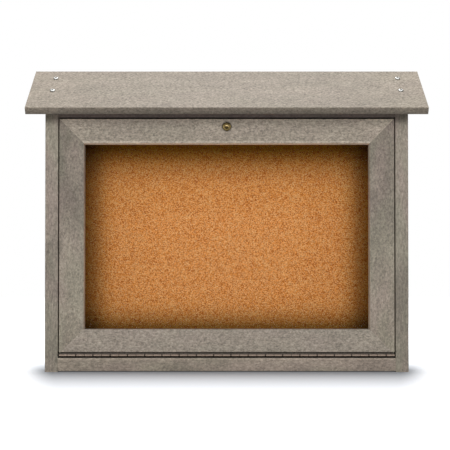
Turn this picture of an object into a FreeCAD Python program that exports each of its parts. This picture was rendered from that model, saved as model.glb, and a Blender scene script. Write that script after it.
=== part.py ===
import FreeCAD, Part
import os
import Sketcher

# Lockable outdoor notice board of recycled plastic lumber, in millimetres.
# X runs along the board, Y from the front towards the wall, Z up from the feet of the side boards.

# The driving dimensions. Every other size and place follows from them.
SIZES = [
    ("case_width", 1066.8, "over the two side boards"),
    ("case_depth", 139.7, "width of the planks that the case is made of"),
    ("board_thickness", 38.1, "side boards and header"),
    ("sill_thickness", 44.0, "sill"),
    ("board_ease", 2.0, "rounding of a plank's long edges"),
    ("sill_lift", 2.5, "sill above the feet of the side boards"),
    ("back_thickness", 12.7, "back panel"),
    ("back_play", 0.3, "round the back panel"),
    ("roof_space", 6.7, "between header and roof at the front"),
    ("roof_overhang", 47.625, "roof beyond the outer face of a side board"),
    ("roof_depth", 249.8, "up the slope"),
    ("roof_thickness", 22.225, "roof board"),
    ("roof_slope", 35.0, "degrees, rising to the wall"),
    ("roof_ease", 3.0, "rounding of the roof's long edges"),
    ("cork_side_gap", 38.1, "from the side boards to the cork"),
    ("cork_end_gap", 40.7, "from the door's lower and upper edges in to the cork's"),
    ("cork_thickness", 6.35, "cork sheet"),
    ("backing_thickness", 6.35, "fibre board behind the cork"),
    ("wall_hole_diameter", 8.0, "for the wall bolts"),
    ("wall_hole_side_gap", 25.4, "from the side boards to the middle of a wall hole"),
    ("wall_hole_end_gap", 35.275, "from the sill and the header to the middle of a wall hole"),
    ("door_height", 691.15, "over the two rails"),
    ("door_thickness", 38.1, "rails and stiles"),
    ("door_gap", 3.0, "round the door, at its sides and its top"),
    ("door_ease", 2.0, "rounding of the door's front edges"),
    ("relief_height", 5.7, "step at the foot of the door and at the sill's top, along the hinge"),
    ("relief_depth", 12.0, "that step, from the front"),
    ("member_width", 73.0, "rails and stiles"),
    ("rebate_width", 12.7, "step behind the window's edge"),
    ("pane_thickness", 4.8, "clear plastic pane"),
    ("pane_play", 1.0, "round the pane, in the rebate"),
    ("gasket_thickness", 1.0, "between pane and rebate"),
    ("gasket_width", 9.0, "between pane and rebate"),
    ("retainer_width", 25.4, "flat bar behind the pane"),
    ("retainer_thickness", 2.0, "flat bar behind the pane"),
    ("retainer_inset", 2.0, "flat bar behind the window's edge"),
    ("brace_length", 76.2, "leg of a corner brace"),
    ("brace_width", 19.0, "leg of a corner brace"),
    ("brace_thickness", 2.0, "corner brace"),
    ("brace_inset", 18.0, "brace from the door's outer edge"),
    ("stop_width", 12.7, "door stop across its face"),
    ("stop_depth", 12.7, "door stop from front to back"),
    ("stop_gap", 3.0, "from the door's back to the stops"),
    ("seal_width", 8.0, "weather seal on the stops"),
    ("seal_play", 0.3, "from the seal to the closed door"),
    ("lock_bay", 90.0, "break in the top stop for the lock"),
    ("leaf_thickness", 1.55, "hinge leaf"),
    ("leaf_width", 31.75, "hinge leaf, from the pin's axis"),
    ("leaf_clearance", 0.4, "notch round the other leaf's knuckle"),
    ("pin_diameter", 3.2, "hinge pin"),
    ("pin_play", 0.05, "round the hinge pin"),
    ("pivot_ahead", 1.0, "pin's axis ahead of the case front"),
    ("knuckle_count", 39, "both leaves together"),
    ("knuckle_gap", 1.1, "between one knuckle and the next, on average"),
    ("knuckle_shift", 0.8, "door leaf's knuckles to the left of the middle of their room"),
    ("lock_drop", 22.9, "lock's axis below the door's top"),
    ("recess_diameter", 30.5, "counterbore round the lock's head"),
    ("recess_depth", 4.5, "counterbore round the lock's head"),
    ("lock_head_diameter", 25.4, "lock housing's head"),
    ("lock_head_thickness", 2.5, "lock housing's head"),
    ("lock_head_bevel", 1.0, "lock housing's head"),
    ("barrel_diameter", 19.05, "lock housing's barrel"),
    ("barrel_length", 45.5, "lock housing, over its head"),
    ("barrel_play", 0.2, "round the barrel in the door and the nut"),
    ("plug_diameter", 12.5, "lock plug"),
    ("plug_play", 0.05, "round the plug in the housing"),
    ("plug_reach", 0.5, "plug behind the housing"),
    ("key_width", 2.2, "keyway"),
    ("key_height", 8.0, "keyway"),
    ("key_depth", 22.0, "keyway"),
    ("tail_size", 8.0, "square tail that turns the cam"),
    ("tail_length", 2.3, "square tail that turns the cam"),
    ("tail_play", 0.1, "round the tail in the cam"),
    ("nut_across", 25.4, "lock nut, over its flats"),
    ("nut_thickness", 5.0, "lock nut"),
    ("cam_length", 22.5, "from the lock's axis to the cam's tip"),
    ("cam_width", 16.0, "cam's arm"),
    ("cam_hub_diameter", 19.0, "cam round the tail"),
    ("cam_thickness", 2.5, "cam"),
    ("cam_corner", 4.0, "rounding of the cam's tip"),
    ("strike_width", 50.8, "strike plate along the board"),
    ("strike_thickness", 2.0, "strike plate"),
    ("strike_drop", 10.5, "strike plate's leg"),
    ("strike_foot", 25.4, "strike plate's foot under the header"),
    ("strike_gap", 1.0, "from the strike's leg to the turned cam"),
    ("roof_screw_setback", 112.3, "first roof screw behind the roof's front edge"),
    ("roof_screw_pitch", 84.0, "from roof screw to roof screw up the slope"),
    ("roof_screw_length", 60.0, "under the head"),
    ("roof_screw_diameter", 5.5, "shank"),
    ("roof_screw_head", 15.5, "head across"),
    ("roof_screw_rise", 3.4, "head"),
    ("roof_screw_play", 0.25, "round the shank in the roof board"),
    ("wood_screw_length", 75.0, "case screw, under the head"),
    ("wood_screw_diameter", 5.5, "case screw's shank"),
    ("wood_screw_head", 11.0, "case screw's head across"),
    ("wood_screw_rise", 2.5, "case screw's head"),
    ("panel_screw_length", 38.0, "back panel screw, under the head"),
    ("panel_screw_diameter", 4.5, "back panel screw's shank"),
    ("panel_screw_head", 9.0, "back panel screw's head across"),
    ("panel_screw_rise", 2.2, "back panel screw's head"),
    ("panel_screw_sink", 3.0, "depth of the hole that holds the screw's head"),
    ("panel_screw_play", 0.4, "round the screw's head in that hole"),
    ("small_screw_length", 22.0, "hinge and strike screws, under the head"),
    ("small_screw_diameter", 4.2, "hinge and strike screws"),
    ("small_screw_head", 8.0, "hinge and strike screws"),
    ("small_screw_rise", 1.4, "hinge and strike screws"),
    ("cam_screw_diameter", 4.7, "cam screw's shank"),
    ("cam_screw_play", 0.05, "round the shank in the plug"),
    ("cam_screw_length", 12.0, "cam screw, under the head"),
    ("cam_screw_head", 9.5, "cam screw's head across"),
    ("cam_screw_rise", 3.0, "cam screw's head"),
]

# Sizes and places that follow from the driving dimensions.
PLACES = [
    ("roof_length", "Sizes.case_width + 2 * Sizes.roof_overhang"),
    ("roof_run", "Sizes.roof_depth * cos(Sizes.roof_slope)"),
    ("roof_lost", "Sizes.roof_ease * (sin(Sizes.roof_slope) + cos(Sizes.roof_slope) - 1)"),
    ("roof_lean", "Sizes.roof_thickness * sin(Sizes.roof_slope)"),
    ("roof_nose", "roof_run - Sizes.case_depth + roof_lean - roof_lost"),
    ("front", "(roof_nose - Sizes.case_depth) / 2"),
    ("back", "front + Sizes.case_depth"),
    ("panel_front", "back - Sizes.back_thickness"),
    ("board_depth", "Sizes.case_depth - Sizes.back_thickness"),
    ("inner_width", "Sizes.case_width - 2 * Sizes.board_thickness"),
    ("sill_top", "Sizes.sill_lift + Sizes.sill_thickness"),
    ("knuckle_radius", "Sizes.pin_diameter / 2 + Sizes.pin_play + Sizes.leaf_thickness"),
    ("pivot_y", "front - Sizes.pivot_ahead"),
    ("pivot_z", "sill_top + knuckle_radius"),
    ("door_bottom", "sill_top + 2 * knuckle_radius"),
    ("door_top", "door_bottom + Sizes.door_height"),
    ("door_width", "inner_width - 2 * Sizes.door_gap"),
    ("door_middle", "(door_bottom + door_top) / 2"),
    ("door_back", "front + Sizes.door_thickness"),
    ("header_bottom", "door_top + Sizes.door_gap"),
    ("header_top", "header_bottom + Sizes.board_thickness"),
    ("front_height", "header_top + Sizes.roof_space"),
    ("back_height", "front_height + Sizes.case_depth * tan(Sizes.roof_slope)"),
    ("roof_front_y", "back - roof_run"),
    ("roof_front_z", "front_height - (front - roof_front_y) * tan(Sizes.roof_slope)"),
    ("panel_bottom", "Sizes.sill_lift"),
    ("panel_back_top", "back_height - Sizes.back_play"),
    ("panel_front_top", "panel_back_top - Sizes.back_thickness * tan(Sizes.roof_slope)"),
    ("sill_middle", "Sizes.sill_lift + Sizes.sill_thickness / 2"),
    ("header_middle", "header_bottom + Sizes.board_thickness / 2"),
    ("case_middle", "(sill_top + header_bottom) / 2"),
    ("wall_hole_span", "inner_width - 2 * Sizes.wall_hole_side_gap"),
    ("wall_hole_rise", "header_bottom - sill_top - 2 * Sizes.wall_hole_end_gap"),
    ("cork_width", "inner_width - 2 * Sizes.cork_side_gap"),
    ("cork_height", "Sizes.door_height - 2 * Sizes.cork_end_gap"),
    ("window_width", "door_width - 2 * Sizes.member_width"),
    ("window_height", "Sizes.door_height - 2 * Sizes.member_width"),
    ("rebate_depth", "Sizes.gasket_thickness + Sizes.pane_thickness"),
    ("pane_margin", "Sizes.rebate_width - Sizes.pane_play"),
    ("pane_width", "window_width + 2 * pane_margin"),
    ("pane_height", "window_height + 2 * pane_margin"),
    ("retainer_length", "window_width + 2 * (Sizes.retainer_inset + Sizes.retainer_width)"),
    ("retainer_rise", "window_height + 2 * Sizes.retainer_inset"),
    ("retainer_span", "window_width / 2 + Sizes.retainer_inset"),
    ("stop_front", "door_back + Sizes.stop_gap"),
    ("stop_height", "header_bottom - sill_top"),
    ("stop_inside", "inner_width / 2 - Sizes.stop_width"),
    ("top_stop_length", "stop_inside - Sizes.lock_bay / 2"),
    ("top_stop_bottom", "header_bottom - Sizes.stop_width"),
    ("seal_thickness", "Sizes.stop_gap - Sizes.seal_play"),
    ("seal_front", "door_back + Sizes.seal_play"),
    ("seal_setback", "(Sizes.stop_width - Sizes.seal_width) / 2"),
    ("knuckle_pitch", "door_width / Sizes.knuckle_count"),
    ("knuckle_length", "knuckle_pitch - Sizes.knuckle_gap"),
    ("leaf_start", "knuckle_radius + Sizes.leaf_clearance"),
    ("leaf_inside", "knuckle_radius - Sizes.leaf_thickness"),
    ("lock_z", "door_top - Sizes.lock_drop"),
    ("lock_front", "front + Sizes.recess_depth - Sizes.lock_head_thickness"),
    ("plug_length", "Sizes.barrel_length + Sizes.plug_reach"),
    ("cam_front", "lock_front + plug_length"),
    ("strike_front", "cam_front - Sizes.strike_gap - Sizes.strike_thickness"),
]

# Small round holes and screws are drawn with a few flats, and the lock nut is a hexagon.
HOLE_SIDES = 6
THREAD_SIDES = 12
HEAD_SIDES = 10
SHANK_SIDES = 6
NUT_SIDES = 6

# Screws in each of the back panel's two rows, and in each leaf of the hinge.
PANEL_SCREWS = 3
LEAF_SCREWS = 6

doc = FreeCAD.newDocument("notice_board")


def make_sheet(name, rows):
    """A spreadsheet with one row for each value: its name and the cell that carries the name as alias."""
    sheet = doc.addObject("Spreadsheet::Sheet", name)
    for number, row in enumerate(rows, start=1):
        sheet.set(f"A{number}", row[0])
        sheet.set(f"B{number}", row[1])
        sheet.setAlias(f"B{number}", row[0])
        if len(row) > 2:
            sheet.set(f"C{number}", row[2])
    return sheet


make_sheet("Sizes", [(name, str(size), note) for name, size, note in SIZES])
places = make_sheet("Places", [(name, "=" + formula) for name, formula in PLACES])
doc.recompute()

nodes = []


def value(expression):
    """What an expression comes to, in millimetres."""
    result = places.evalExpression(expression)
    return float(getattr(result, "Value", result))


def keep(thing, label):
    """Take a finished piece into the list of nodes, under its own name."""
    thing.Label = label
    nodes.append(thing)
    return thing


def place(thing, x="0", y="0", z="0"):
    """Bind a piece's position to the sheets."""
    for axis, expression in (("x", x), ("y", y), ("z", z)):
        thing.setExpression(f"Placement.Base.{axis}", expression)
    return thing


def turn(thing, axis, angle):
    """Turn a piece about an axis through its own origin."""
    thing.Placement = FreeCAD.Placement(FreeCAD.Vector(), FreeCAD.Rotation(FreeCAD.Vector(*axis), angle))
    return thing


def new_body(name):
    return doc.addObject("PartDesign::Body", name)


def own_plane(body, role):
    """One of the body's own origin planes or axes."""
    return next(item for item in body.Origin.OriginFeatures if item.Role == role)


def new_sketch(body, name, role):
    """A sketch on one of the body's own origin planes."""
    sketch = body.newObject("Sketcher::SketchObject", name)
    sketch.AttachmentSupport = [(own_plane(body, role), "")]
    sketch.MapMode = "FlatFace"
    return sketch


def hold_point(sketch, geometry, point, across, up):
    """Hold a point of a sketch at its two distances from the sketch's origin."""
    for kind, axis, expression in (("DistanceX", -2, across), ("DistanceY", -1, up)):
        if expression == "0":
            sketch.addConstraint(Sketcher.Constraint("PointOnObject", geometry, point, axis))
        else:
            held = Sketcher.Constraint(kind, -1, 1, geometry, point, value(expression))
            number = sketch.addConstraint(held)
            sketch.setExpression(f"Constraints[{number}]", expression)


def draw_outline(sketch, corners):
    """A closed outline of straight lines, with every corner held."""
    points = [FreeCAD.Vector(value(across), value(up), 0) for across, up in corners]
    first = sketch.GeometryCount
    count = len(points)
    for number in range(count):
        line = Part.LineSegment(points[number], points[(number + 1) % count])
        sketch.addGeometry(line, False)
    for number in range(count):
        following = first + (number + 1) % count
        sketch.addConstraint(Sketcher.Constraint("Coincident", first + number, 2, following, 1))
    for number, (across, up) in enumerate(corners):
        hold_point(sketch, first + number, 1, across, up)


def draw_circle(sketch, radius, across="0", up="0"):
    """A circle with its centre and its radius held."""
    centre = FreeCAD.Vector(value(across), value(up), 0)
    number = sketch.addGeometry(Part.Circle(centre, FreeCAD.Vector(0, 0, 1), value(radius)), False)
    hold_point(sketch, number, 3, across, up)
    held = sketch.addConstraint(Sketcher.Constraint("Radius", number, value(radius)))
    sketch.setExpression(f"Constraints[{held}]", radius)


def draw_polygon(sketch, sides, over_flats, across="0", up="0"):
    """An even polygon with a flat at either side of its middle, from its size over the flats."""
    reach = f"({over_flats}) / 2 / cos(180 / {sides})"
    angles = [360 * (number + 0.5) / sides for number in range(sides)]
    draw_outline(sketch, [
        (f"{across} + {reach} * cos({angle})", f"{up} + {reach} * sin({angle})")
        for angle in angles
    ])


def add_pad(body, name, sketch, length, middle=False, backwards=False):
    """Thicken a sketch, to one side or to both."""
    pad = body.newObject("PartDesign::Pad", name)
    pad.Profile = sketch
    pad.setExpression("Length", length)
    pad.Midplane = middle
    pad.Reversed = backwards
    doc.recompute()
    return pad


def add_pocket(body, name, sketch, depth=None, middle=False, backwards=False):
    """Cut a sketch out of the body, to a depth or right through, and make sure that it did cut."""
    before = body.Shape.Volume
    pocket = body.newObject("PartDesign::Pocket", name)
    pocket.Profile = sketch
    pocket.Midplane = middle
    pocket.Reversed = backwards
    if depth is None:
        pocket.Type = "ThroughAll"
    else:
        pocket.setExpression("Length", depth)
    doc.recompute()
    if not body.Shape.Volume < before:
        raise RuntimeError(f"{name} cuts nothing")
    return pocket


def add_revolution(body, name, sketch):
    """Turn a sketch once round the body's own Y or Z axis, which is the sketch's upright one."""
    revolution = body.newObject("PartDesign::Revolution", name)
    revolution.Profile = sketch
    revolution.ReferenceAxis = (sketch, ["V_Axis"])
    revolution.Angle = 360
    doc.recompute()
    return revolution


def straight_edges(feature, wanted):
    """The feature's straight edges whose middle and direction are wanted."""
    names = []
    for number, edge in enumerate(feature.Shape.Edges, start=1):
        if edge.Curve.TypeId != "Part::GeomLine":
            continue
        if wanted(edge.CenterOfMass, edge.tangentAt(edge.FirstParameter)):
            names.append(f"Edge{number}")
    return names


def round_edges(body, name, radius, wanted):
    """Round the wanted straight edges of the body's last feature."""
    base = body.Tip
    fillet = body.newObject("PartDesign::Fillet", name)
    fillet.Base = (base, straight_edges(base, wanted))
    fillet.setExpression("Radius", radius)
    doc.recompute()
    return fillet


def near(one, other):
    return abs(one - other) < 1e-6


def along(direction, axis):
    """Whether a direction runs along an axis, 0 for X, 1 for Y and 2 for Z."""
    return near(abs(direction[axis]), 1)


def make_block(name, length, width, height, x, y, z):
    """A plain block, from its low corner."""
    block = doc.addObject("Part::Box", name)
    for size, expression in (("Length", length), ("Width", width), ("Height", height)):
        block.setExpression(size, expression)
    return place(block, x, y, z)


def make_group(name, pieces):
    """Separate solids that share one node."""
    group = doc.addObject("Part::Compound", name)
    group.Links = pieces
    return keep(group, name)


# The two side boards are full height planks whose tops are cut to the slope of the roof.
def make_side_board(label, x):
    body = new_body(label)
    outline = new_sketch(body, label + "_outline", "YZ_Plane")
    draw_outline(outline, [
        ("Places.front", "0"),
        ("Places.back", "0"),
        ("Places.back", "Places.back_height"),
        ("Places.front", "Places.front_height"),
    ])
    add_pad(body, label + "_plank", outline, "Sizes.board_thickness")
    round_edges(
        body, label + "_eased", "Sizes.board_ease",
        lambda middle, direction: along(direction, 2),
    )
    place(body, x)
    return keep(body, label)


make_side_board("left_side_board", "-Sizes.case_width / 2")
make_side_board("right_side_board", "Sizes.case_width / 2 - Sizes.board_thickness")


# The sill and the header are planks laid flat between the side boards, in front of the back panel.
# The sill's front is cut down in a step, which leaves a dark slot under the hinge knuckles.
def make_cross_board(label, bottom, thickness, stepped=False):
    body = new_body(label)
    outline = new_sketch(body, label + "_outline", "YZ_Plane")
    step = [
        ("Sizes.relief_depth", thickness),
        ("Sizes.relief_depth", f"{thickness} - Sizes.relief_height"),
        ("0", f"{thickness} - Sizes.relief_height"),
    ]
    draw_outline(outline, [
        ("0", "0"),
        ("Places.board_depth", "0"),
        ("Places.board_depth", thickness),
        *(step if stepped else [("0", thickness)]),
    ])
    add_pad(body, label + "_plank", outline, "Places.inner_width", middle=True)
    round_edges(
        body, label + "_eased", "Sizes.board_ease",
        lambda middle, direction: along(direction, 0) and near(middle.y, 0),
    )
    place(body, y="Places.front", z=bottom)
    return keep(body, label)


make_cross_board("sill_board", "Sizes.sill_lift", "Sizes.sill_thickness", stepped=True)
make_cross_board("header_board", "Places.header_bottom", "Sizes.board_thickness")


# The back panel fills the back between the side boards. Four holes outside the cork take the wall bolts,
# and the heads of its own screws are sunk in the side that faces the wall.
def make_back_panel():
    body = new_body("back_panel")
    outline = new_sketch(body, "back_outline", "YZ_Plane")
    draw_outline(outline, [
        ("Places.panel_front", "Places.panel_bottom"),
        ("Places.back", "Places.panel_bottom"),
        ("Places.back", "Places.panel_back_top"),
        ("Places.panel_front", "Places.panel_front_top"),
    ])
    add_pad(body, "back_sheet", outline, "Places.inner_width - 2 * Sizes.back_play", middle=True)
    holes = new_sketch(body, "wall_holes_outline", "XZ_Plane")
    for side in ("-", ""):
        for level in ("-", "+"):
            draw_circle(
                holes, "Sizes.wall_hole_diameter / 2",
                f"{side}Places.wall_hole_span / 2",
                f"Places.case_middle {level} Places.wall_hole_rise / 2",
            )
    add_pocket(body, "wall_holes", holes, middle=True)
    sinks = new_sketch(body, "screw_sinks_outline", "XZ_Plane")
    sinks.setExpression("AttachmentOffset.Base.z", "-Places.back")
    for level in ("Places.sill_middle", "Places.header_middle"):
        for place_number in range(PANEL_SCREWS):
            draw_polygon(
                sinks, HEAD_SIDES, "Sizes.panel_screw_head + 2 * Sizes.panel_screw_play",
                f"Places.inner_width * {(place_number + 0.5) / PANEL_SCREWS - 0.5}", level,
            )
    add_pocket(body, "screw_sinks", sinks, "Sizes.panel_screw_sink", backwards=True)
    return keep(body, "back_panel")


make_back_panel()

keep(make_block(
    "cork_backing", "Places.cork_width", "Sizes.backing_thickness", "Places.cork_height",
    "-Places.cork_width / 2",
    "Places.panel_front - Sizes.backing_thickness",
    "Places.door_middle - Places.cork_height / 2",
), "cork_backing")
keep(make_block(
    "cork_sheet", "Places.cork_width", "Sizes.cork_thickness", "Places.cork_height",
    "-Places.cork_width / 2",
    "Places.panel_front - Sizes.backing_thickness - Sizes.cork_thickness",
    "Places.door_middle - Places.cork_height / 2",
), "cork_sheet")


# The roof is one board on the sloping tops of the side boards, with its lower back edge at the wall.
def make_roof():
    body = new_body("roof_board")
    outline = new_sketch(body, "roof_outline", "YZ_Plane")
    draw_outline(outline, [
        ("0", "0"),
        ("Sizes.roof_depth", "0"),
        ("Sizes.roof_depth", "Sizes.roof_thickness"),
        ("0", "Sizes.roof_thickness"),
    ])
    add_pad(body, "roof_sheet", outline, "Places.roof_length", middle=True)
    round_edges(
        body, "roof_eased", "Sizes.roof_ease",
        lambda middle, direction: along(direction, 0),
    )
    holes = new_sketch(body, "roof_holes_outline", "XY_Plane")
    for side in ("-", ""):
        for step in range(2):
            draw_polygon(
                holes, HOLE_SIDES, "Sizes.roof_screw_diameter + 2 * Sizes.roof_screw_play",
                f"{side}(Sizes.case_width - Sizes.board_thickness) / 2",
                f"Sizes.roof_screw_setback + {step} * Sizes.roof_screw_pitch",
            )
    add_pocket(body, "roof_holes", holes, middle=True)
    turn(body, (1, 0, 0), value("Sizes.roof_slope"))
    body.setExpression("Placement.Rotation.Angle", "Sizes.roof_slope")
    place(body, y="Places.roof_front_y", z="Places.roof_front_z")
    return keep(body, "roof_board")


roof = make_roof()


# The door stops line the opening behind the door, and carry the weather seal.
# The top one leaves room for the lock.
keep(make_block(
    "left_stop", "Sizes.stop_width", "Sizes.stop_depth", "Places.stop_height",
    "-Places.inner_width / 2", "Places.stop_front", "Places.sill_top",
), "left_stop")
keep(make_block(
    "right_stop", "Sizes.stop_width", "Sizes.stop_depth", "Places.stop_height",
    "Places.stop_inside", "Places.stop_front", "Places.sill_top",
), "right_stop")
keep(make_block(
    "top_left_stop", "Places.top_stop_length", "Sizes.stop_depth", "Sizes.stop_width",
    "-Places.stop_inside", "Places.stop_front", "Places.top_stop_bottom",
), "top_left_stop")
keep(make_block(
    "top_right_stop", "Places.top_stop_length", "Sizes.stop_depth", "Sizes.stop_width",
    "Sizes.lock_bay / 2", "Places.stop_front", "Places.top_stop_bottom",
), "top_right_stop")

seal_run = "Places.stop_inside - Places.seal_setback - Sizes.lock_bay / 2"
make_group("door_seal", [
    make_block(
        "seal_left", "Sizes.seal_width", "Places.seal_thickness", "Places.stop_height",
        "-Places.inner_width / 2 + Places.seal_setback", "Places.seal_front", "Places.sill_top",
    ),
    make_block(
        "seal_right", "Sizes.seal_width", "Places.seal_thickness", "Places.stop_height",
        "Places.stop_inside + Places.seal_setback", "Places.seal_front", "Places.sill_top",
    ),
    make_block(
        "seal_top_left", seal_run, "Places.seal_thickness", "Sizes.seal_width",
        "-Places.stop_inside + Places.seal_setback", "Places.seal_front",
        "Places.top_stop_bottom + Places.seal_setback",
    ),
    make_block(
        "seal_top_right", seal_run, "Places.seal_thickness", "Sizes.seal_width",
        "Sizes.lock_bay / 2", "Places.seal_front", "Places.top_stop_bottom + Places.seal_setback",
    ),
])


# A bent strike plate hangs from the header, and the turned cam stands behind its leg.
def make_strike():
    body = new_body("strike_plate")
    outline = new_sketch(body, "strike_outline", "YZ_Plane")
    draw_outline(outline, [
        ("0", "0"),
        ("0", "-Sizes.strike_drop"),
        ("Sizes.strike_thickness", "-Sizes.strike_drop"),
        ("Sizes.strike_thickness", "-Sizes.strike_thickness"),
        ("Sizes.strike_foot", "-Sizes.strike_thickness"),
        ("Sizes.strike_foot", "0"),
    ])
    add_pad(body, "strike_angle", outline, "Sizes.strike_width", middle=True)
    place(body, y="Places.strike_front", z="Places.header_bottom")
    return keep(body, "strike_plate")


make_strike()


# A rail or stile of the door: its section has a rebate at the inner back edge for the pane,
# both ends are cut to a mitre, and its front edges are eased. It lies along X, outer edge up.
# The foot of the door has a step along the hinge, and the top rail has the hole and the recess for the lock.
def make_door_member(label, length, angle, x, z, step=None, lock=False):
    body = new_body(label)
    section = new_sketch(body, label + "_section", "YZ_Plane")
    draw_outline(section, [
        ("0", "0"),
        ("Sizes.door_thickness", "0"),
        ("Sizes.door_thickness", "-(Sizes.member_width - Sizes.rebate_width)"),
        ("Sizes.door_thickness - Places.rebate_depth", "-(Sizes.member_width - Sizes.rebate_width)"),
        ("Sizes.door_thickness - Places.rebate_depth", "-Sizes.member_width"),
        ("0", "-Sizes.member_width"),
    ])
    add_pad(body, label + "_plank", section, length, middle=True)
    mitres = new_sketch(body, label + "_mitres_outline", "XZ_Plane")
    for side in ("-", ""):
        draw_outline(mitres, [
            (f"{side}({length}) / 2", "0"),
            (f"{side}({length}) / 2", "-Sizes.member_width"),
            (f"{side}(({length}) / 2 - Sizes.member_width)", "-Sizes.member_width"),
        ])
    add_pocket(body, label + "_mitres", mitres, middle=True)
    if step:
        start, end, low = step
        foot = new_sketch(body, label + "_step_outline", "XZ_Plane")
        draw_outline(foot, [(start, low), (end, low), (end, "0"), (start, "0")])
        add_pocket(body, label + "_step", foot, "Sizes.relief_depth")
    round_edges(
        body, label + "_eased", "Sizes.door_ease",
        lambda middle, direction: along(direction, 0) and near(middle.y, 0),
    )
    if lock:
        hole = new_sketch(body, label + "_lock_hole_outline", "XZ_Plane")
        draw_circle(hole, "Sizes.barrel_diameter / 2 + Sizes.barrel_play", "0", "-Sizes.lock_drop")
        add_pocket(body, label + "_lock_hole", hole, middle=True)
        recess = new_sketch(body, label + "_recess_outline", "XZ_Plane")
        draw_circle(recess, "Sizes.recess_diameter / 2", "0", "-Sizes.lock_drop")
        add_pocket(body, label + "_recess", recess, "Sizes.recess_depth")
    turn(body, (0, 1, 0), angle)
    place(body, x, "Places.front", z)
    return keep(body, label)


make_door_member("door_top_rail", "Places.door_width", 0, "0", "Places.door_top", lock=True)
make_door_member(
    "door_bottom_rail", "Places.door_width", 180, "0", "Places.door_bottom",
    step=("-Places.door_width / 2", "Places.door_width / 2", "-Sizes.relief_height"),
)
make_door_member(
    "door_left_stile", "Sizes.door_height", -90, "-Places.door_width / 2", "Places.door_middle",
    step=("-Sizes.door_height / 2", "-Sizes.door_height / 2 + Sizes.relief_height", "-Sizes.member_width"),
)
make_door_member(
    "door_right_stile", "Sizes.door_height", 90, "Places.door_width / 2", "Places.door_middle",
    step=("Sizes.door_height / 2", "Sizes.door_height / 2 - Sizes.relief_height", "-Sizes.member_width"),
)


# The pane lies in the rebate on a thin gasket, and flat bars hold it from behind.
keep(make_block(
    "window_pane", "Places.pane_width", "Sizes.pane_thickness", "Places.pane_height",
    "-Places.pane_width / 2",
    "Places.door_back - Sizes.pane_thickness",
    "Places.door_middle - Places.pane_height / 2",
), "window_pane")


def make_gasket():
    body = new_body("pane_gasket")
    ring = new_sketch(body, "gasket_outline", "XZ_Plane")
    for inset in ("0", "Sizes.gasket_width"):
        across = f"Places.pane_width / 2 - {inset}"
        up = f"Places.pane_height / 2 - {inset}"
        draw_outline(ring, [
            (f"-({across})", f"-({up})"),
            (across, f"-({up})"),
            (across, up),
            (f"-({across})", up),
        ])
    add_pad(body, "gasket_ring", ring, "Sizes.gasket_thickness", backwards=True)
    place(body, y="Places.door_back - Places.rebate_depth", z="Places.door_middle")
    return keep(body, "pane_gasket")


make_gasket()

for label, z in (
    ("top_retainer", "Places.door_middle + Places.retainer_rise / 2"),
    ("bottom_retainer", "Places.door_middle - Places.retainer_rise / 2 - Sizes.retainer_width"),
):
    keep(make_block(
        label, "Places.retainer_length", "Sizes.retainer_thickness", "Sizes.retainer_width",
        "-Places.retainer_length / 2", "Places.door_back", z,
    ), label)
for label, x in (
    ("left_retainer", "-Places.retainer_span - Sizes.retainer_width"),
    ("right_retainer", "Places.retainer_span"),
):
    keep(make_block(
        label, "Sizes.retainer_width", "Sizes.retainer_thickness", "Places.retainer_rise",
        x, "Places.door_back", "Places.door_middle - Places.retainer_rise / 2",
    ), label)


# Flat corner braces tie the mitres together on the back of the door.
def make_brace(name, angle, x, z):
    body = new_body(name)
    outline = new_sketch(body, name + "_outline", "XZ_Plane")
    draw_outline(outline, [
        ("0", "0"),
        ("Sizes.brace_length", "0"),
        ("Sizes.brace_length", "Sizes.brace_width"),
        ("Sizes.brace_width", "Sizes.brace_width"),
        ("Sizes.brace_width", "Sizes.brace_length"),
        ("0", "Sizes.brace_length"),
    ])
    add_pad(body, name + "_plate", outline, "Sizes.brace_thickness", backwards=True)
    turn(body, (0, 1, 0), angle)
    return place(body, x, "Places.door_back", z)


brace_x = "(Places.door_width / 2 - Sizes.brace_inset)"
brace_low = "Places.door_bottom + Sizes.brace_inset"
brace_high = "Places.door_top - Sizes.brace_inset"
make_group("corner_braces", [
    make_brace("brace_low_left", 0, "-" + brace_x, brace_low),
    make_brace("brace_high_left", 90, "-" + brace_x, brace_high),
    make_brace("brace_high_right", 180, brace_x, brace_high),
    make_brace("brace_low_right", 270, brace_x, brace_low),
])


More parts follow.
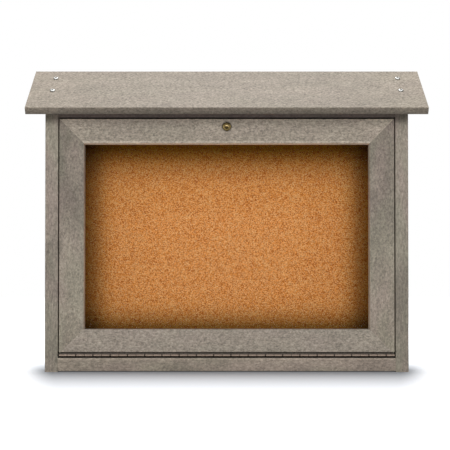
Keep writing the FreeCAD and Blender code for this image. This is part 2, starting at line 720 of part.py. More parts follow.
# A leaf of the continuous hinge, drawn about the pin's axis. Its plate is notched for the other leaf's
# knuckles, and its own knuckles stand on tabs of the plate. The case leaf has every first knuckle and lies
# below the pin, and the door leaf has every second one, a little to the left of the middle of its room,
# and lies above the pin. Six flats in the bore clear the pin.
def make_hinge_leaf(label, level, first, count, shift):
    body = new_body(label)
    faces = [f"{level}Places.knuckle_radius", f"{level}Places.leaf_inside"]
    plate = new_sketch(body, label + "_plate_outline", "YZ_Plane")
    draw_outline(plate, [
        ("Places.leaf_start", faces[0]),
        ("Sizes.leaf_width", faces[0]),
        ("Sizes.leaf_width", faces[1]),
        ("Places.leaf_start", faces[1]),
    ])
    add_pad(body, label + "_plate", plate, "Places.door_width", middle=True)
    start = f"-Places.door_width / 2 + {first} * Places.knuckle_pitch + Sizes.knuckle_gap / 2 - {shift}"
    rolled = []
    for part in ("tab", "knuckle"):
        sketch = new_sketch(body, f"{label}_{part}_outline", "YZ_Plane")
        sketch.setExpression("AttachmentOffset.Base.z", start)
        if part == "tab":
            draw_outline(sketch, [
                ("0", faces[0]),
                ("Places.leaf_start", faces[0]),
                ("Places.leaf_start", faces[1]),
                ("0", faces[1]),
            ])
        else:
            draw_circle(sketch, "Places.knuckle_radius")
        rolled.append(add_pad(body, f"{label}_{part}", sketch, "Places.knuckle_length"))
    row = body.newObject("PartDesign::LinearPattern", label + "_knuckle_row")
    row.Originals = rolled
    row.Direction = (own_plane(body, "X_Axis"), [""])
    row.setExpression("Occurrences", count)
    row.setExpression("Length", f"2 * ({count} - 1) * Places.knuckle_pitch")
    body.Tip = row
    doc.recompute()
    bore = new_sketch(body, label + "_bore_outline", "YZ_Plane")
    draw_polygon(bore, HOLE_SIDES, "Sizes.pin_diameter + 2 * Sizes.pin_play")
    add_pocket(body, label + "_bore", bore, middle=True)
    place(body, y="Places.pivot_y", z="Places.pivot_z")
    return keep(body, label)


make_hinge_leaf("hinge_case_leaf", "-", 0, "ceil(Sizes.knuckle_count / 2)", "0")
make_hinge_leaf("hinge_door_leaf", "", 1, "floor(Sizes.knuckle_count / 2)", "Sizes.knuckle_shift")

pin = doc.addObject("Part::Cylinder", "hinge_pin")
pin.setExpression("Radius", "Sizes.pin_diameter / 2")
pin.setExpression("Height", "Places.door_width")
turn(pin, (0, 1, 0), 90)
place(pin, "-Places.door_width / 2", "Places.pivot_y", "Places.pivot_z")
keep(pin, "hinge_pin")


# The lock, drawn about its own axis with the front of its head at Y = 0.
def make_lock_housing():
    body = new_body("lock_housing")
    section = new_sketch(body, "housing_section", "XY_Plane")
    bore = "Sizes.plug_diameter / 2 + Sizes.plug_play"
    draw_outline(section, [
        (bore, "0"),
        ("Sizes.lock_head_diameter / 2 - Sizes.lock_head_bevel", "0"),
        ("Sizes.lock_head_diameter / 2", "Sizes.lock_head_bevel"),
        ("Sizes.lock_head_diameter / 2", "Sizes.lock_head_thickness"),
        ("Sizes.barrel_diameter / 2", "Sizes.lock_head_thickness"),
        ("Sizes.barrel_diameter / 2", "Sizes.barrel_length"),
        (bore, "Sizes.barrel_length"),
    ])
    add_revolution(body, "housing_turned", section)
    place(body, y="Places.lock_front", z="Places.lock_z")
    return keep(body, "lock_housing")


def make_lock_plug():
    body = new_body("lock_plug")
    section = new_sketch(body, "plug_section", "XY_Plane")
    draw_outline(section, [
        ("0", "0"),
        ("Sizes.plug_diameter / 2", "0"),
        ("Sizes.plug_diameter / 2", "Places.plug_length"),
        ("0", "Places.plug_length"),
    ])
    add_revolution(body, "plug_turned", section)
    tail = new_sketch(body, "tail_outline", "XZ_Plane")
    tail.setExpression("AttachmentOffset.Base.z", "-Places.plug_length")
    half = "Sizes.tail_size / 2"
    draw_outline(tail, [("-" + half, "-" + half), (half, "-" + half), (half, half), ("-" + half, half)])
    add_pad(body, "tail", tail, "Sizes.tail_length", backwards=True)
    keyway = new_sketch(body, "keyway_outline", "XZ_Plane")
    wide = "Sizes.key_width / 2"
    tall = "Sizes.key_height / 2"
    draw_outline(keyway, [("-" + wide, "-" + tall), (wide, "-" + tall), (wide, tall), ("-" + wide, tall)])
    add_pocket(body, "keyway", keyway, "Sizes.key_depth")
    thread = new_sketch(body, "cam_screw_hole_outline", "XZ_Plane")
    thread.setExpression("AttachmentOffset.Base.z", "-Places.plug_length - Sizes.tail_length")
    draw_circle(thread, "Sizes.cam_screw_diameter / 2 + Sizes.cam_screw_play")
    add_pocket(body, "cam_screw_hole", thread, "Sizes.cam_screw_length", backwards=True)
    place(body, y="Places.lock_front", z="Places.lock_z")
    return keep(body, "lock_plug")


def make_lock_nut():
    body = new_body("lock_nut")
    ring = new_sketch(body, "nut_outline", "XZ_Plane")
    draw_polygon(ring, NUT_SIDES, "Sizes.nut_across")
    draw_polygon(ring, THREAD_SIDES, "Sizes.barrel_diameter + 2 * Sizes.barrel_play")
    add_pad(body, "nut_ring", ring, "Sizes.nut_thickness", backwards=True)
    place(body, y="Places.door_back", z="Places.lock_z")
    return keep(body, "lock_nut")


def make_cam():
    body = new_body("cam")
    hub = new_sketch(body, "cam_hub_outline", "XZ_Plane")
    draw_circle(hub, "Sizes.cam_hub_diameter / 2")
    add_pad(body, "cam_hub", hub, "Sizes.cam_thickness", backwards=True)
    arm = new_sketch(body, "cam_arm_outline", "XZ_Plane")
    half = "Sizes.cam_width / 2"
    draw_outline(arm, [
        ("0", "-" + half),
        ("0", half),
        ("-Sizes.cam_length", half),
        ("-Sizes.cam_length", "-" + half),
    ])
    add_pad(body, "cam_arm", arm, "Sizes.cam_thickness", backwards=True)
    round_edges(
        body, "cam_tip", "Sizes.cam_corner",
        lambda middle, direction: along(direction, 1) and near(middle.x, -value("Sizes.cam_length")),
    )
    square = new_sketch(body, "cam_square_outline", "XZ_Plane")
    side = "Sizes.tail_size / 2 + Sizes.tail_play"
    draw_outline(square, [
        (f"-({side})", f"-({side})"),
        (side, f"-({side})"),
        (side, side),
        (f"-({side})", side),
    ])
    add_pocket(body, "cam_square", square, middle=True)
    place(body, y="Places.cam_front", z="Places.lock_z")
    return keep(body, "cam")


make_lock_housing()
make_lock_plug()
make_lock_nut()
make_cam()


# Screws are drawn upright, with the seat of the head at Z = 0 and the shank below it.
def make_screw(name, head, rise, shank, length):
    """A screw whose round head and shank are drawn with a few flats."""
    parts = []
    for part, sides, across, height in (
        ("head", HEAD_SIDES, head, rise),
        ("shank", SHANK_SIDES, shank, length),
    ):
        prism = doc.addObject("Part::Prism", f"{name}_{part}")
        prism.Polygon = sides
        prism.setExpression("Circumradius", f"{across} / 2")
        prism.setExpression("Height", height)
        parts.append(prism)
    place(parts[1], z=f"-{length}")
    screw = doc.addObject("Part::Fuse", name)
    screw.Base = parts[0]
    screw.Tool = parts[1]
    doc.recompute()
    return screw


def set_copies(label, pattern, placements):
    """Copies of one screw at each of its places, as one node."""
    copies = []
    for placement in placements:
        copy = pattern.Shape.copy()
        copy.Placement = placement
        copies.append(copy)
    group = doc.addObject("Part::Feature", label)
    group.Shape = Part.makeCompound(copies)
    return keep(group, label)


def facing(x, y, z, head):
    """The placement of a screw whose head looks in a direction."""
    turned = FreeCAD.Rotation(FreeCAD.Vector(0, 0, 1), FreeCAD.Vector(*head))
    return FreeCAD.Placement(FreeCAD.Vector(x, y, z), turned)


def spread(count, span):
    """Even places over a span about the middle, with half a step left at both ends."""
    return [span * ((number + 0.5) / count - 0.5) for number in range(count)]


roof_screw = make_screw(
    "roof_screw", "Sizes.roof_screw_head", "Sizes.roof_screw_rise",
    "Sizes.roof_screw_diameter", "Sizes.roof_screw_length",
)
roof_screw_x = value("(Sizes.case_width - Sizes.board_thickness) / 2")
set_copies("roof_screws", roof_screw, [
    roof.Placement * FreeCAD.Placement(
        FreeCAD.Vector(
            side * roof_screw_x,
            value(f"Sizes.roof_screw_setback + {step} * Sizes.roof_screw_pitch"),
            value("Sizes.roof_thickness"),
        ),
        FreeCAD.Rotation(),
    )
    for side in (-1, 1)
    for step in (0, 1)
])

screw_levels = [value("Places.sill_middle"), value("Places.header_middle")]
board_middle = value("Places.front + Places.board_depth / 2")

wood_screw = make_screw(
    "wood_screw", "Sizes.wood_screw_head", "Sizes.wood_screw_rise",
    "Sizes.wood_screw_diameter", "Sizes.wood_screw_length",
)
set_copies("case_screws", wood_screw, [
    facing(side * value("Sizes.case_width / 2"), board_middle + shift, height, (side, 0, 0))
    for side in (-1, 1)
    for height in screw_levels
    for shift in spread(2, value("Places.board_depth"))
])

panel_screw = make_screw(
    "panel_screw", "Sizes.panel_screw_head", "Sizes.panel_screw_rise",
    "Sizes.panel_screw_diameter", "Sizes.panel_screw_length",
)
set_copies("back_panel_screws", panel_screw, [
    facing(x, value("Places.back - Sizes.panel_screw_sink"), height, (0, 1, 0))
    for height in screw_levels
    for x in spread(PANEL_SCREWS, value("Places.inner_width"))
])

small_screw = make_screw(
    "small_screw", "Sizes.small_screw_head", "Sizes.small_screw_rise",
    "Sizes.small_screw_diameter", "Sizes.small_screw_length",
)
leaf_screw_y = value("Places.pivot_y + (Places.leaf_start + Sizes.leaf_width) / 2")
for label, level in (("case_leaf_screws", -1), ("door_leaf_screws", 1)):
    set_copies(label, small_screw, [
        facing(x, leaf_screw_y, value("Places.pivot_z") + level * value("Places.leaf_inside"), (0, 0, -level))
        for x in spread(LEAF_SCREWS, value("Places.door_width"))
    ])
set_copies("strike_screws", small_screw, [
    facing(
        x, value("Places.strike_front + (Sizes.strike_thickness + Sizes.strike_foot) / 2"),
        value("Places.header_bottom - Sizes.strike_thickness"), (0, 0, -1),
    )
    for x in spread(2, value("Sizes.strike_width"))
])

cam_screw = make_screw(
    "cam_screw_pattern", "Sizes.cam_screw_head", "Sizes.cam_screw_rise",
    "Sizes.cam_screw_diameter", "Sizes.cam_screw_length",
)
set_copies("cam_screw", cam_screw, [
    facing(0, value("Places.cam_front + Sizes.cam_thickness"), value("Places.lock_z"), (0, 1, 0)),
])


# Nothing is written before every object is sound.
doc.recompute()
for thing in doc.Objects:
    if "Invalid" in thing.State or "Error" in thing.State:
        raise RuntimeError(f"{thing.Label} did not recompute")
for node in nodes:
    if node.Shape.isNull() or not node.Shape.isValid():
        raise RuntimeError(f"{node.Label} has no valid shape")

os.makedirs("parts", exist_ok=True)
for node in nodes:
    node.Shape.exportStep(f"parts/{node.Label}.step")
    print(node.Label, len(node.Shape.Solids), round(node.Shape.Volume, 1))
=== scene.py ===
import bpy
import numpy as np
from mathutils import Matrix


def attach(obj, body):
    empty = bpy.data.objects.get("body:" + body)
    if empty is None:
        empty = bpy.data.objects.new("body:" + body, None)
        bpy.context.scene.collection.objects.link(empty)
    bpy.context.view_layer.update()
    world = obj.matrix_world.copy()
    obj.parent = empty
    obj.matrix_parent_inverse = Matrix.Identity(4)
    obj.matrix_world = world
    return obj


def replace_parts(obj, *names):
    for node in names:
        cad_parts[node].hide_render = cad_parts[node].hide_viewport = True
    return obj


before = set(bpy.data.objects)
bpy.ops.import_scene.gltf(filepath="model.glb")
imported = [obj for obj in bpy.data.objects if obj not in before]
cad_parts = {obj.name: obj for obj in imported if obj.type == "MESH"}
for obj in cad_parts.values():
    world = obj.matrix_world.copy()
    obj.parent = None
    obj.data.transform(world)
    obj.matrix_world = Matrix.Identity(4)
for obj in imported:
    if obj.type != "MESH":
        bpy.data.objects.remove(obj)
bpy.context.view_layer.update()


# Side boards: full height planks of recycled plastic lumber, cut to the roof's slope at the top.
# The planks are extruded with a matte, mottled skin that runs in faint streaks along their length.

def linear(red, green, blue):
    """A colour given in steps of 255 on a screen, as light: each part over 255, to the power 2.2."""
    return tuple((part / 255) ** 2.2 for part in (red, green, blue)) + (1.0,)


def feed(tree, node, inputs):
    """A node with its inputs set to plain values, or joined to other nodes' outputs."""
    for name, value in dict(inputs).items():
        if isinstance(value, bpy.types.NodeSocket):
            tree.links.new(value, node.inputs[name])
        else:
            node.inputs[name].default_value = value
    return node


def put(tree, kind, inputs=(), **settings):
    """A shader node with its settings and inputs."""
    node = tree.nodes.new("ShaderNode" + kind)
    for name, setting in settings.items():
        setattr(node, name, setting)
    return feed(tree, node, inputs)


def combined(tree, operation, first, second):
    """Two numbers put together by one operation of arithmetic."""
    return put(tree, "Math", {0: first, 1: second}, operation=operation).outputs[0]


def product(tree, *values):
    """Several numbers multiplied."""
    total = values[0]
    for value in values[1:]:
        total = combined(tree, "MULTIPLY", total, value)
    return total


def varied(tree, pattern, depth):
    """One plus the depth times the pattern's distance from its middle, one half."""
    middle = combined(tree, "SUBTRACT", pattern, 0.5)
    return put(tree, "Math", {0: middle, 1: depth, 2: 1.0}, operation="MULTIPLY_ADD").outputs[0]


def spread(tree, value, low, high, first=0.0, last=1.0, course="LINEAR"):
    """The value's place between low and high, held inside them, as a number from first to last."""
    return put(tree, "MapRange", {
        "Value": value, "From Min": low, "From Max": high, "To Min": first, "To Max": last,
    }, interpolation_type=course).outputs[0]


def blend(tree, share, first, second, how="MIX"):
    """The second colour over the first, by its share."""
    return put(tree, "Mix", {0: share, 6: first, 7: second}, data_type="RGBA", blend_type=how).outputs[2]


def tinted(tree, colour, shade):
    """A colour times a number."""
    grey = put(tree, "CombineColor", {0: shade, 1: shade, 2: shade}).outputs[0]
    return blend(tree, 1.0, colour, grey, "MULTIPLY")


def noise(tree, vector, size, stretch=(1.0, 1.0, 1.0), detail=2.0, distortion=0.0):
    """Soft lumps of about that size in metres, drawn out along an axis by that stretch."""
    scale = tuple(1.0 / (size * part) for part in stretch)
    drawn = put(tree, "Mapping", {"Vector": vector, "Scale": scale}).outputs[0]
    return put(tree, "TexNoise", {
        "Vector": drawn, "Scale": 1.0, "Detail": detail, "Distortion": distortion,
    }).outputs[0]


def new_group(name, inputs, outputs):
    """A node group with named inputs, each with its first value, and named outputs."""
    group = bpy.data.node_groups.new(name, "ShaderNodeTree")
    for title, value in inputs.items():
        kind = "Vector" if value is None else "Color" if isinstance(value, tuple) else "Float"
        socket = group.interface.new_socket(title, in_out="INPUT", socket_type="NodeSocket" + kind)
        if value is not None:
            socket.default_value = value
    for title, kind in outputs.items():
        group.interface.new_socket(title, in_out="OUTPUT", socket_type="NodeSocket" + kind)
    return group, group.nodes.new("NodeGroupInput").outputs, group.nodes.new("NodeGroupOutput").inputs


def use_group(tree, group, inputs):
    """A node group placed in a material with its own values."""
    node = tree.nodes.new("ShaderNodeGroup")
    node.node_tree = group
    return feed(tree, node, inputs).outputs


# The plank's grain runs along X. Fine mottle and short streaks lie over slow clouds,
# and the tone drifts between greenish and reddish grey.
WHITE = (1.0, 1.0, 1.0, 1.0)
GREENISH = (0.95, 1.02, 0.95, 1.0)
REDDISH = (1.05, 0.975, 1.02, 1.0)
NOISE_SPAN = (0.3, 0.7)
DRIFT_SPAN = (0.35, 0.65)
plank_skin, given, result = new_group(
    "plank skin",
    {
        "Vector": None, "Colour": (0.3, 0.3, 0.3, 1.0),
        "Mottle": 1.0, "Streak": 0.5, "Cloud": 0.3, "Drift": 0.5,
    },
    {"Colour": "Color", "Height": "Float", "Roughness": "Float"},
)
mottle = noise(
    plank_skin, given["Vector"], size=0.0042, stretch=(1.5, 1.0, 1.0), detail=1.0, distortion=0.6,
)
streaks = noise(plank_skin, given["Vector"], size=0.0045, stretch=(5.0, 1.0, 1.0), detail=1.0)
cloud = noise(plank_skin, given["Vector"], size=0.045, stretch=(2.5, 1.0, 1.0), detail=2.0)
drift = noise(plank_skin, given["Vector"], size=0.05, stretch=(3.0, 1.0, 1.0), detail=1.0)
tone = blend(plank_skin, spread(plank_skin, drift, *DRIFT_SPAN), GREENISH, REDDISH)
tone = blend(plank_skin, given["Drift"], WHITE, tone)
shade = product(
    plank_skin, varied(plank_skin, mottle, given["Mottle"]), varied(plank_skin, streaks, given["Streak"]),
    varied(plank_skin, cloud, given["Cloud"]),
)
plank_skin.links.new(
    tinted(plank_skin, blend(plank_skin, 1.0, given["Colour"], tone, "MULTIPLY"), shade), result["Colour"],
)
plank_skin.links.new(combined(plank_skin, "ADD", mottle, streaks), result["Height"])
plank_skin.links.new(
    spread(plank_skin, mottle, *NOISE_SPAN, first=0.72, last=0.55), result["Roughness"],
)


def empty_material(name):
    """A material and its node tree, with no nodes in it."""
    material = bpy.data.materials.new(name)
    material.use_nodes = True
    material.node_tree.nodes.clear()
    return material, material.node_tree


def new_material(name):
    """A material, its node tree, the inputs of its one Principled shader and the place on the object."""
    material, tree = empty_material(name)
    shader = put(tree, "BsdfPrincipled")
    tree.links.new(shader.outputs[0], put(tree, "OutputMaterial").inputs["Surface"])
    return material, tree, shader.inputs, put(tree, "TexCoord").outputs["Object"]


def raise_surface(tree, shader, height, depth, strength):
    """A bump that follows a height, of that depth in metres, fed to the shader's normal."""
    bump = put(tree, "Bump", {"Height": height, "Distance": depth, "Strength": strength})
    tree.links.new(bump.outputs[0], shader["Normal"])


# Turns of a material's place that lay its grain along an axis.
ALONG_X = (0.0, 0.0, 0.0)
ALONG_Z = (0.0, np.pi / 2, 0.0)


def distance(tree, place, start):
    """How far a point lies from the start, in metres: up the Z axis, along X from the middle, from a
    spot given by its place, or along X from the nearest of a row of joints, given by the first one's
    place and half their spacing."""
    spot = put(tree, "SeparateXYZ", {0: place}).outputs
    if start == "up":
        return spot["Z"]
    if start == "middle":
        return combined(tree, "ABSOLUTE", spot["X"], 0.0)
    if len(start) == 3:
        return put(tree, "VectorMath", {0: place, 1: start}, operation="DISTANCE").outputs["Value"]
    return combined(tree, "PINGPONG", combined(tree, "SUBTRACT", spot["X"], start[0]), start[1])


def toned(tree, place, colour, changes):
    """A colour with changes of its tone. Each change tells from where a distance is taken, at which
    distances it begins and ends, and the share of the light that is left at its end."""
    for start, begins, ends, share in changes:
        colour = tinted(tree, colour, spread(tree, distance(tree, place, start), begins, ends, 1.0, share))
    return colour


def lumber(name, colour, grain=ALONG_X, mottle=1.6, streak=0.6, cloud=0.35, drift=0.4, changes=()):
    """Plastic lumber with its grain along an axis, its mottle, streaks, slow clouds and drift of hue."""
    material, tree, shader, place = new_material(name)
    laid = put(tree, "Mapping", {"Vector": place, "Rotation": grain}).outputs[0]
    skin = use_group(tree, plank_skin, {
        "Vector": laid, "Colour": toned(tree, place, colour, changes),
        "Mottle": mottle, "Streak": streak, "Cloud": cloud, "Drift": drift,
    })
    tree.links.new(skin["Colour"], shader["Base Color"])
    tree.links.new(skin["Roughness"], shader["Roughness"])
    shader["Specular IOR Level"].default_value = 0.3
    raise_surface(tree, shader, skin["Height"], depth=0.0010, strength=0.4)
    return material


def dress(material, *names):
    """Give CAD nodes a material in all their slots."""
    for name in names:
        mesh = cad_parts[name].data
        if not mesh.materials:
            mesh.materials.append(material)
        for number in range(len(mesh.materials)):
            mesh.materials[number] = material


dress(
    lumber(
        "side plank", linear(136, 127, 116), ALONG_Z, mottle=1.0, streak=0.9, cloud=0.65, drift=0.6,
        changes=[
            ("up", 0.30, 0.58, 1.21),  # paler towards the top
            ("up", 0.675, 0.700, 0.93), ("up", 0.728, 0.744, 0.86),  # painted shadow of the roof's overhang, in two steps
            ("up", 0.045, 0.025, 1.15),  # paler at the foot
        ],
    ),
    "left_side_board", "right_side_board",
)


# Sill and header: the same plank laid flat between the side boards and screwed from outside.
# The sill's front edge is painted paler as a highlight, and the step that makes room for the hinge is
# painted dark as shade.
dress(
    lumber(
        "sill plank", linear(148, 137, 124), mottle=1.2, cloud=0.9, changes=[
            ("up", 0.026, 0.014, 0.93), ("up", 0.028, 0.035, 1.05),  # painted shade, darker below and paler above
            ("up", 0.0350, 0.0358, 1.18), ("up", 0.0384, 0.0390, 1.13),  # painted highlight along the front edge and its top
            ("up", 0.0405, 0.0411, 0.07),  # painted shade in the step
        ],
    ),
    "sill_board",
)
# The header's darker colour is painted shade from the roof's overhang.
dress(
    lumber(
        "header plank in painted shade", linear(117, 106, 100), mottle=0.8, streak=0.4,
        changes=[("up", 0.7484, 0.7472, 0.08)],  # painted shade of the gap along its lower edge, over the door
    ),
    "header_board",
)


# Door stops: square strips of the same plastic, glued and screwed inside the opening.
# They stop the door 3 mm short, and carry its weather seal.
dress(lumber("upright strip", linear(138, 129, 118), ALONG_Z), "left_stop", "right_stop")
dress(lumber("level strip", linear(138, 129, 118)), "top_left_stop", "top_right_stop")


# Back panel: a sheet of the same recycled plastic, screwed to the sill and the header from behind.
# Its four holes take the bolts that hold the board to a wall or to posts.
dress(lumber("back sheet", linear(132, 124, 113), mottle=1.2, streak=0.4), "back_panel")


# Roof: one board of the same plastic, fixed on the sloping tops of the side boards.
# Its face is finely pebbled, weather has evened out its tone, and its front edge is painted darker as
# shade.
dress(
    lumber(
        "roof board", linear(140, 130, 117), mottle=1.55, streak=0.3, cloud=0.45, drift=0.15, changes=[
            ("up", 0.7655, 0.7635, 0.7), ("up", 0.7635, 0.7464, 0.6),  # painted shade on the front edge, which faces down
            ("middle", 0.40, 0.58, 1.12),  # paler towards both ends
        ],
    ),
    "roof_board",
)


# Door: two rails and two stiles of plastic lumber with mitred corners, rebated for the pane.
# Painted light lies on the edges at the window and the foot, and painted shade round the lock, in the gaps
# and in the step over the hinge.
LOCK = (0.0, -0.0296031, 0.72115)
dress(
    lumber(
        "door stile", linear(129, 120, 109), ALONG_Z, mottle=1.35, streak=0.3, cloud=0.8, drift=0.6,
        changes=[
            ("middle", 0.4197, 0.4195, 1.6),  # painted light on the side of the window opening
            ("up", 0.48, 0.28, 1.4),  # paler towards the foot
        ],
    ),
    "door_left_stile", "door_right_stile",
)
dress(
    lumber(
        "top rail", linear(149, 139, 126), mottle=1.6, streak=0.5, drift=0.2, changes=[
            ("up", 0.6713, 0.6711, 2.2), ("up", 0.6788, 0.6784, 1.35),  # painted light on the underside at the window, and a painted highlight along the edge above it
            ("middle", 0.36, 0.44, 1.12),  # paler towards the mitres
            ("up", 0.724, 0.736, 1.22), ("up", 0.7365, 0.741, 1.38),  # painted light that lifts the roof's shadow under the header
            ("up", 0.7428, 0.7435, 0.08),  # painted shade of the gap along its top
            (LOCK, 0.0163, 0.0148, 0.62),  # painted shade in the counterbore round the lock
        ],
    ),
    "door_top_rail",
)
dress(
    lumber(
        "bottom rail", linear(155, 145, 133), mottle=1.5, streak=0.4, drift=0.2, changes=[
            ("up", 0.1245, 0.1252, 0.65),  # darker along the window's lower edge
            ("up", 0.0625, 0.0595, 1.3),  # painted highlight along the edge over the step
            ("up", 0.0583, 0.0577, 0.35),  # painted shade in the step over the hinge
        ],
    ),
    "door_bottom_rail",
)


# Cork sheet: pressed cork crumbs, glued to the fibre board behind it.
# The crumbs run from pale tan to bark brown, and painted shade darkens the sheet along its edges.
cork_crumbs, given, result = new_group(
    "cork crumbs",
    {
        "Vector": None, "Pale": linear(252, 201, 138), "Middle": linear(245, 164, 88),
        "Bark": linear(160, 68, 10), "Crumb": 0.0026,
    },
    {"Colour": "Color", "Height": "Float"},
)
# Each crumb has its own chance from zero to one: the highest are pale, the lowest are bark, and the
# seams between the crumbs are partly bark.
crumb_scale = combined(cork_crumbs, "DIVIDE", 1.0, given["Crumb"])
crumbs = put(cork_crumbs, "TexVoronoi", {"Vector": given["Vector"], "Scale": crumb_scale}).outputs
chance = put(cork_crumbs, "SeparateColor", {0: crumbs["Color"]}).outputs[0]
pale = blend(cork_crumbs, spread(cork_crumbs, chance, 0.45, 1.0), given["Middle"], given["Pale"])
mixed = blend(cork_crumbs, spread(cork_crumbs, chance, 0.3, 0.0, last=0.8), pale, given["Bark"])
seam = spread(cork_crumbs, crumbs["Distance"], 0.3, 0.8, last=0.6)
cork_crumbs.links.new(blend(cork_crumbs, seam, mixed, given["Bark"]), result["Colour"])
cork_crumbs.links.new(combined(cork_crumbs, "SUBTRACT", 1.0, crumbs["Distance"]), result["Height"])

# How much painted shade lies on the sheet from its middle to its sides, and up it: a place in metres, and
# the share of red, green and blue light left there.
PAINTED_SHADE_ACROSS = [
    (0.0, 1.0, 1.0, 1.0), (0.2, 0.99, 0.99, 0.97), (0.33, 0.9, 0.9, 0.87), (0.375, 0.74, 0.74, 0.64),
    (0.405, 0.54, 0.52, 0.38), (0.434, 0.28, 0.25, 0.07),
]
PAINTED_SHADE_UP = [
    (0.13, 0.3, 0.31, 0.2), (0.152, 0.56, 0.57, 0.48), (0.18, 0.83, 0.83, 0.78), (0.2, 0.94, 0.94, 0.9),
    (0.24, 1.0, 1.0, 0.99), (0.45, 1.0, 1.0, 1.0), (0.54, 0.91, 0.91, 0.86), (0.57, 0.81, 0.81, 0.77),
    (0.61, 0.55, 0.55, 0.46), (0.64, 0.4, 0.38, 0.21), (0.67, 0.4, 0.36, 0.04),
]


def ramp(tree, value, stops):
    """A colour that follows a value through stops, each a place and the three parts of its colour."""
    start, end = stops[0][0], stops[-1][0]
    node = put(tree, "ValToRGB", {0: spread(tree, value, start, end)})
    shades = node.color_ramp.elements
    for place, *colour in stops:
        at = (place - start) / (end - start)
        shade = shades[0] if place == start else shades[-1] if place == end else shades.new(at)
        shade.position = at
        shade.color = (*colour, 1.0)
    return node.outputs[0]


def cork():
    """Cork crumbs in all three directions, with painted shade towards the four edges of the window."""
    material, tree, shader, place = new_material("cork")
    skin = use_group(tree, cork_crumbs, {"Vector": place})
    sideways = ramp(tree, distance(tree, place, "middle"), PAINTED_SHADE_ACROSS)
    painted_shade = blend(tree, 1.0, sideways, ramp(tree, distance(tree, place, "up"), PAINTED_SHADE_UP), "MULTIPLY")
    tree.links.new(blend(tree, 1.0, skin["Colour"], painted_shade, "MULTIPLY"), shader["Base Color"])
    shader["Roughness"].default_value = 0.9
    shader["Specular IOR Level"].default_value = 0.1
    raise_surface(tree, shader, skin["Height"], depth=0.0006, strength=0.4)
    return material


dress(cork(), "cork_sheet")
dress(lumber("fibre board", linear(122, 98, 70), mottle=1.2, streak=0.8), "cork_backing")


# Window pane: clear plastic sheet, 4.8 mm thick, in the rebate of the door.
# It is polished, and shows by a faint reflection only.
def clear_plastic():
    """Clear sheet that lets light through and keeps a faint gloss."""
    material, tree, shader, place = new_material("clear plastic")
    shader["Base Color"].default_value = (0.02, 0.022, 0.022, 1.0)
    shader["Alpha"].default_value = 0.02
    shader["IOR"].default_value = 1.49
    haze = spread(tree, noise(tree, place, size=0.11, detail=3.0), *NOISE_SPAN, first=0.03, last=0.09)
    tree.links.new(haze, shader["Roughness"])
    return material


dress(clear_plastic(), "window_pane")


# Rubber: a flat gasket under the pane, and the weather seal glued to the door stops.
# Both are black, matte and a little dusty.
def rubber():
    """Matte black rubber with a fine grain and a little dust."""
    material, tree, shader, place = new_material("rubber")
    dust = noise(tree, place, size=0.03, detail=3.0)
    tree.links.new(blend(tree, dust, linear(22, 22, 22), linear(48, 46, 44)), shader["Base Color"])
    shader["Roughness"].default_value = 0.75
    raise_surface(tree, shader, noise(tree, place, size=0.0011), depth=0.0002, strength=0.5)
    return material


dress(rubber(), "pane_gasket", "door_seal")


# Retainers and braces: flat aluminium bars hold the pane, and zinc plated steel braces tie the mitres.
# The bars are drawn along their length, and the plated steel has the cloudy bloom of zinc.
metal_skin, given, result = new_group(
    "metal skin",
    {"Vector": None, "Colour": (0.6, 0.6, 0.6, 1.0), "Roughness": 0.4, "Tarnish": 0.5},
    {"Colour": "Color", "Height": "Float", "Roughness": "Float"},
)
marks = noise(metal_skin, given["Vector"], size=0.0008, stretch=(40.0, 1.0, 1.0), detail=2.0)
bloom = noise(metal_skin, given["Vector"], size=0.012, detail=3.0)
metal_skin.links.new(
    tinted(metal_skin, given["Colour"], varied(metal_skin, bloom, given["Tarnish"])), result["Colour"],
)
metal_skin.links.new(marks, result["Height"])
metal_skin.links.new(
    product(metal_skin, given["Roughness"], spread(metal_skin, marks, *NOISE_SPAN, first=0.75, last=1.25)),
    result["Roughness"],
)


def metal(name, colour, roughness, grain=ALONG_X, tarnish=0.4, metallic=1.0, changes=()):
    """Metal with fine marks along an axis, and a slow change of tone."""
    material, tree, shader, place = new_material(name)
    laid = put(tree, "Mapping", {"Vector": place, "Rotation": grain}).outputs[0]
    skin = use_group(tree, metal_skin, {
        "Vector": laid, "Colour": toned(tree, place, colour, changes),
        "Roughness": roughness, "Tarnish": tarnish,
    })
    tree.links.new(skin["Colour"], shader["Base Color"])
    tree.links.new(skin["Roughness"], shader["Roughness"])
    shader["Metallic"].default_value = metallic
    raise_surface(tree, shader, skin["Height"], depth=0.0001, strength=0.4)
    return material


dress(metal("level bar", linear(112, 112, 114), 0.5), "top_retainer", "bottom_retainer")
dress(metal("upright bar", linear(112, 112, 114), 0.5, ALONG_Z), "left_retainer", "right_retainer")
dress(metal("zinc plate", linear(118, 121, 123), 0.5, tarnish=0.9), "corner_braces", "strike_plate", "cam")


# Hinge: a continuous steel hinge, its knuckles rolled from the two leaves about one long pin.
# The steel is dull and brownish, painted shade lies over the crown of the knuckles and at their joints,
# and the pin is darkened as painted shade.
HINGE_LENGTH = 0.9846
KNUCKLES = 39
KNUCKLE_PITCH = HINGE_LENGTH / KNUCKLES
JOINT_SHIFT = 0.0004
WIDE_JOINT = -HINGE_LENGTH / 2 - JOINT_SHIFT
NARROW_JOINT = WIDE_JOINT + KNUCKLE_PITCH
hinge_steel = metal(
    "hinge steel", linear(184, 163, 146), 0.5, tarnish=0.6, metallic=0.6, changes=[
        ("up", 0.0484, 0.0517, 0.22),  # painted shade over the crown of the knuckles, under the door's foot
        ((WIDE_JOINT, KNUCKLE_PITCH), 0.0028, 0.0014, 0.3),  # and painted shade at their joints, wide and narrow in turn
        ((NARROW_JOINT, KNUCKLE_PITCH), 0.0018, 0.0006, 0.4),
    ],
)
dress(hinge_steel, "hinge_case_leaf", "hinge_door_leaf")
# The pin is darkened as painted shade, so that the joints between the knuckles show dark.
dress(metal("pin darkened as painted shade", linear(44, 29, 18), 0.7, metallic=0.0), "hinge_pin")
